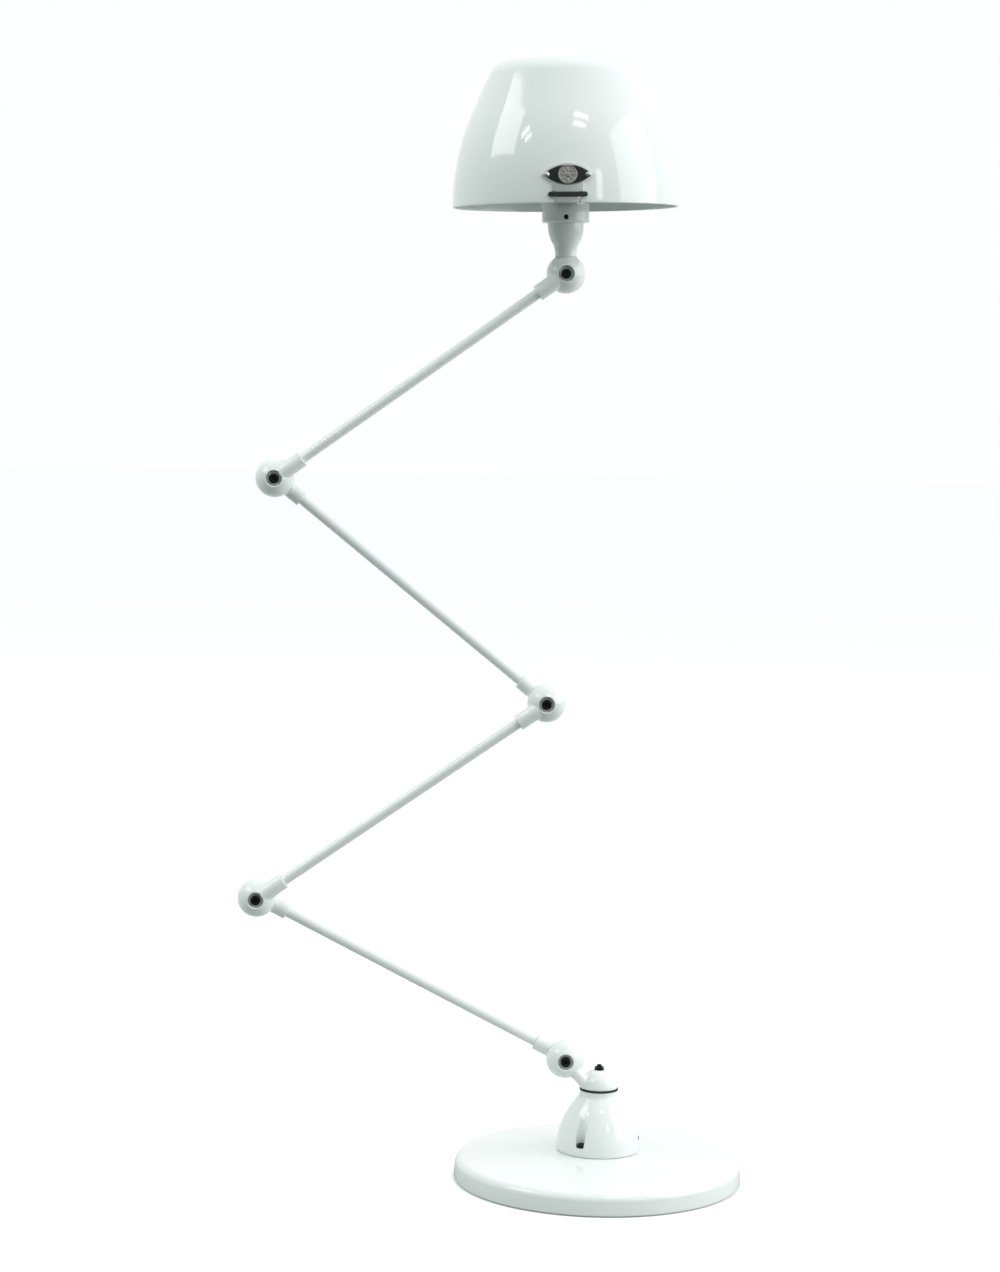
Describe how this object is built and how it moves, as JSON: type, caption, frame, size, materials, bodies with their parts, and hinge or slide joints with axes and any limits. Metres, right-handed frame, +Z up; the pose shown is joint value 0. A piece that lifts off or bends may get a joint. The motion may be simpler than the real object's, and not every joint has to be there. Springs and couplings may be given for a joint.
{
  "type": "adjustable arm floor lamp",
  "caption": "Floor lamp with a heavy round base, a swivelling elbow, four folding tubular arms on ball-shaped friction joints and a domed shade.",
  "frame": {"origin": "centre of the underside of the base, on the swivel axis", "axes": "+Z up, +X to the right and -Y towards the front, where the nameplate and the bolt heads face; the arms fold in the XZ plane"},
  "size_m": [0.4378, 0.248, 0.9562],
  "materials": {
    "enamel_iron": "gloss stove enamel",
    "enamel_steel": "gloss stove enamel",
    "enamel_aluminium": "gloss stove enamel",
    "black_steel": "black oxide",
    "black_fibre": "matt",
    "black_rubber": "satin",
    "lead_sheath": "matt",
    "bakelite": "satin",
    "contact_brass": "satin",
    "holder_plastic": "gloss",
    "bulb_glass": "frosted inside",
    "bright_steel": "nickel plated",
    "plate_black": "gloss"
  },
  "bodies": {
    "base": {"base_plate": "enamel_iron", "base_pad": "black_rubber", "cord_grommet": "black_rubber", "bell": "enamel_iron", "bell_screws": "black_steel", "swivel_stud": "black_steel", "swivel_washer": "black_fibre", "swivel_nut": "black_steel", "swivel_contact_disc": "bakelite"},
    "swivel_head": {"swivel_elbow": "enamel_aluminium", "swivel_brush_disc": "contact_brass", "joint_0_contact_disc": "bakelite"},
    "arm_1": {"arm_1_tube": "enamel_steel", "arm_1_lower_shell": "enamel_aluminium", "arm_1_upper_shell": "enamel_aluminium", "arm_1_lead": "lead_sheath", "joint_0_bolt": "black_steel", "joint_0_washer": "black_fibre", "joint_0_brush_disc": "contact_brass", "joint_1_bolt": "black_steel", "joint_1_washer": "black_fibre", "joint_1_brush_disc": "contact_brass"},
    "arm_2": {"arm_2_tube": "enamel_steel", "arm_2_lower_shell": "enamel_aluminium", "arm_2_upper_shell": "enamel_aluminium", "arm_2_lead": "lead_sheath", "joint_1_contact_disc": "bakelite", "joint_2_contact_disc": "bakelite"},
    "arm_3": {"arm_3_tube": "enamel_steel", "arm_3_lower_shell": "enamel_aluminium", "arm_3_upper_shell": "enamel_aluminium", "arm_3_lead": "lead_sheath", "joint_2_bolt": "black_steel", "joint_2_washer": "black_fibre", "joint_2_brush_disc": "contact_brass", "joint_3_bolt": "black_steel", "joint_3_washer": "black_fibre", "joint_3_brush_disc": "contact_brass"},
    "arm_4": {"arm_4_tube": "enamel_steel", "arm_4_lower_shell": "enamel_aluminium", "arm_4_upper_shell": "enamel_aluminium", "arm_4_lead": "lead_sheath", "joint_3_contact_disc": "bakelite", "joint_4_contact_disc": "bakelite"},
    "lamp_head": {"head_neck": "enamel_aluminium", "joint_4_bolt": "black_steel", "joint_4_washer": "black_fibre", "joint_4_brush_disc": "contact_brass", "collar": "enamel_aluminium", "collar_screw": "black_steel", "lampholder": "holder_plastic", "lampholder_contacts": "contact_brass", "shade_ring": "holder_plastic", "bulb_cap": "contact_brass", "bulb_glass": "bulb_glass", "shade": "enamel_aluminium", "shade_bracket": "bright_steel", "bracket_buffer": "black_rubber", "nameplate": "plate_black", "nameplate_screws": "bright_steel"}
  },
  "joints": [
    {"name": "base_swivel", "type": "hinge", "parent": "base", "child": "swivel_head", "pos_m": [0, 0, 0.0802], "axis": [0, 0, 1], "continuous": true},
    {"name": "elbow_joint", "type": "hinge", "parent": "swivel_head", "child": "arm_1", "pos_m": [-0.0295, 0, 0.1045], "axis": [0, -1, 0], "range_deg": [-135, 30]},
    {"name": "lower_joint", "type": "hinge", "parent": "arm_1", "child": "arm_2", "pos_m": [-0.29728, 0, 0.23976], "axis": [0, 1, 0], "range_deg": [-150, 48]},
    {"name": "middle_joint", "type": "hinge", "parent": "arm_2", "child": "arm_3", "pos_m": [-0.05213, 0, 0.41269], "axis": [0, -1, 0], "range_deg": [-130, 58]},
    {"name": "upper_joint", "type": "hinge", "parent": "arm_3", "child": "arm_4", "pos_m": [-0.28626, 0, 0.60027], "axis": [0, 1, 0], "range_deg": [-150, 60]},
    {"name": "head_joint", "type": "hinge", "parent": "arm_4", "child": "lamp_head", "pos_m": [-0.04356, 0, 0.7766], "axis": [0, -1, 0], "range_deg": [-165, 56]}
  ]
}
